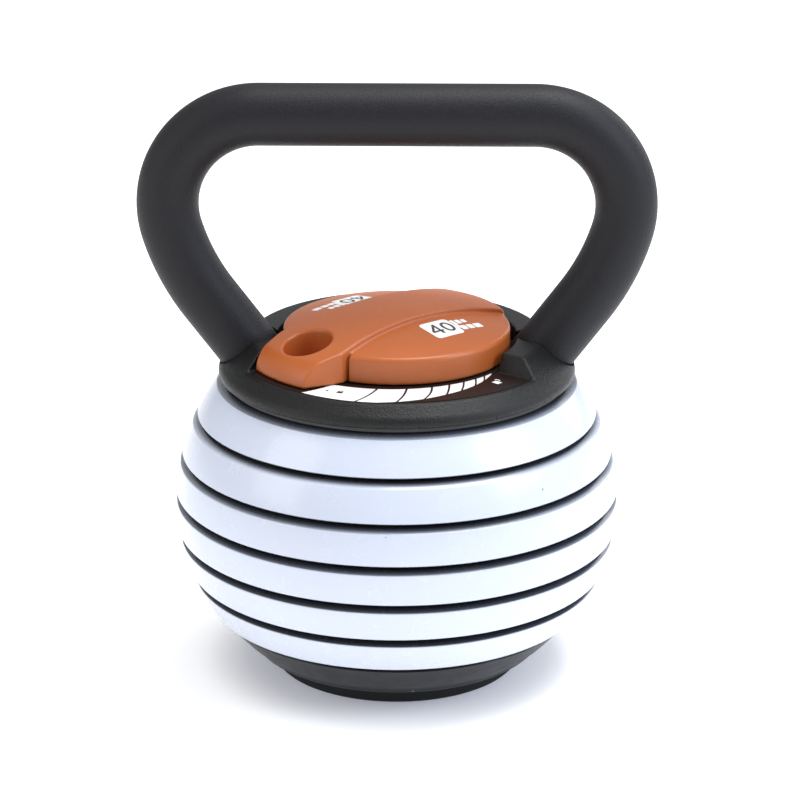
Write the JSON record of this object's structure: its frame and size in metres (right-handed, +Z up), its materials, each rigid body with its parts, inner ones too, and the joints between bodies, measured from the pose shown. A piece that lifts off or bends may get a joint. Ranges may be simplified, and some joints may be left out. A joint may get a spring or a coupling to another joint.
{
  "type": "adjustable kettlebell",
  "caption": "Kettlebell with a looped tube handle, a lever knob that locks it, and lift-off disc plates stacked on a weighted base.",
  "frame": {"origin": "centre of the foot ring's underside, on the floor", "axes": "+Z up along the stack and knob axis, handle loop in the XZ plane, lever at the front left when locked"},
  "size_m": [0.2674, 0.2328, 0.313],
  "materials": {
    "powder_coat": "fine textured matte black powder coat on steel tube",
    "weld_steel": "painted fillet weld",
    "black_steel": "black oxide steel plate",
    "collar_plastic": "spark-textured black moulding",
    "scale_print": "printed dark brown vinyl with white wedges",
    "zinc_screws": "zinc plated",
    "lock_alloy": "satin die cast",
    "bush_nylon": "natural nylon",
    "knob_plastic": "semi-gloss burnt orange moulding",
    "label_vinyl": "white vinyl with dark figures",
    "ground_steel": "ground steel",
    "jaw_steel": "hardened dark steel",
    "plate_paint": "gloss white paint over cast iron",
    "base_iron": "satin black paint over cast iron",
    "foot_rubber": "matte black rubber"
  },
  "bodies": {
    "base": {"base_weight": "base_iron", "foot_ring": "foot_rubber", "foot_screws": "zinc_screws"},
    "weight_6": {"plate_6": "plate_paint"},
    "weight_5": {"plate_5": "plate_paint"},
    "weight_4": {"plate_4": "plate_paint"},
    "weight_3": {"plate_3": "plate_paint"},
    "weight_2": {"plate_2": "plate_paint"},
    "weight_1": {"plate_1": "plate_paint"},
    "handle": {"handle_tube": "powder_coat", "handle_welds": "weld_steel", "chassis_plate": "black_steel", "collar": "collar_plastic", "scale_ring": "scale_print", "collar_screws": "zinc_screws", "lock_housing": "lock_alloy", "housing_screws": "zinc_screws", "shaft_bush": "bush_nylon"},
    "lever_knob": {"knob": "knob_plastic", "knob_label_front": "label_vinyl", "knob_label_rear": "label_vinyl", "drive_shaft": "ground_steel", "shaft_screws": "zinc_screws", "cam_plate": "ground_steel", "cam_screw": "zinc_screws"},
    "jaw_1": {"lock_jaw_1": "jaw_steel", "jaw_pin_1": "ground_steel"},
    "jaw_2": {"lock_jaw_2": "jaw_steel", "jaw_pin_2": "ground_steel"},
    "jaw_3": {"lock_jaw_3": "jaw_steel", "jaw_pin_3": "ground_steel"}
  },
  "joints": [
    {"name": "lift_plate_6", "type": "slide", "parent": "base", "child": "weight_6", "axis": [0, 0, 1], "range_m": [0, 0.03]},
    {"name": "lift_plate_5", "type": "slide", "parent": "weight_6", "child": "weight_5", "axis": [0, 0, 1], "range_m": [0, 0.03]},
    {"name": "lift_plate_4", "type": "slide", "parent": "weight_5", "child": "weight_4", "axis": [0, 0, 1], "range_m": [0, 0.03]},
    {"name": "lift_plate_3", "type": "slide", "parent": "weight_4", "child": "weight_3", "axis": [0, 0, 1], "range_m": [0, 0.03]},
    {"name": "lift_plate_2", "type": "slide", "parent": "weight_3", "child": "weight_2", "axis": [0, 0, 1], "range_m": [0, 0.03]},
    {"name": "lift_plate_1", "type": "slide", "parent": "weight_2", "child": "weight_1", "axis": [0, 0, 1], "range_m": [0, 0.03]},
    {"name": "lift_handle", "type": "slide", "parent": "weight_1", "child": "handle", "axis": [0, 0, 1], "range_m": [0, 0.04]},
    {"name": "knob_turn", "type": "hinge", "parent": "handle", "child": "lever_knob", "pos_m": [0, 0, 0.172], "axis": [0, 0, 1], "range_deg": [0, 78]},
    {"name": "jaw_slide_1", "type": "slide", "parent": "handle", "child": "jaw_1", "axis": [0, 1, 0], "range_m": [-0.002, 0]},
    {"name": "jaw_slide_2", "type": "slide", "parent": "handle", "child": "jaw_2", "axis": [-0.866, -0.5, 0], "range_m": [-0.002, 0]},
    {"name": "jaw_slide_3", "type": "slide", "parent": "handle", "child": "jaw_3", "axis": [0.866, -0.5, 0], "range_m": [-0.002, 0]}
  ],
  "couplings": [
    {"joint": "jaw_slide_1", "follows": "knob_turn", "m_per_rad": -0.0014691},
    {"joint": "jaw_slide_2", "follows": "knob_turn", "m_per_rad": -0.0014691},
    {"joint": "jaw_slide_3", "follows": "knob_turn", "m_per_rad": -0.0014691}
  ]
}
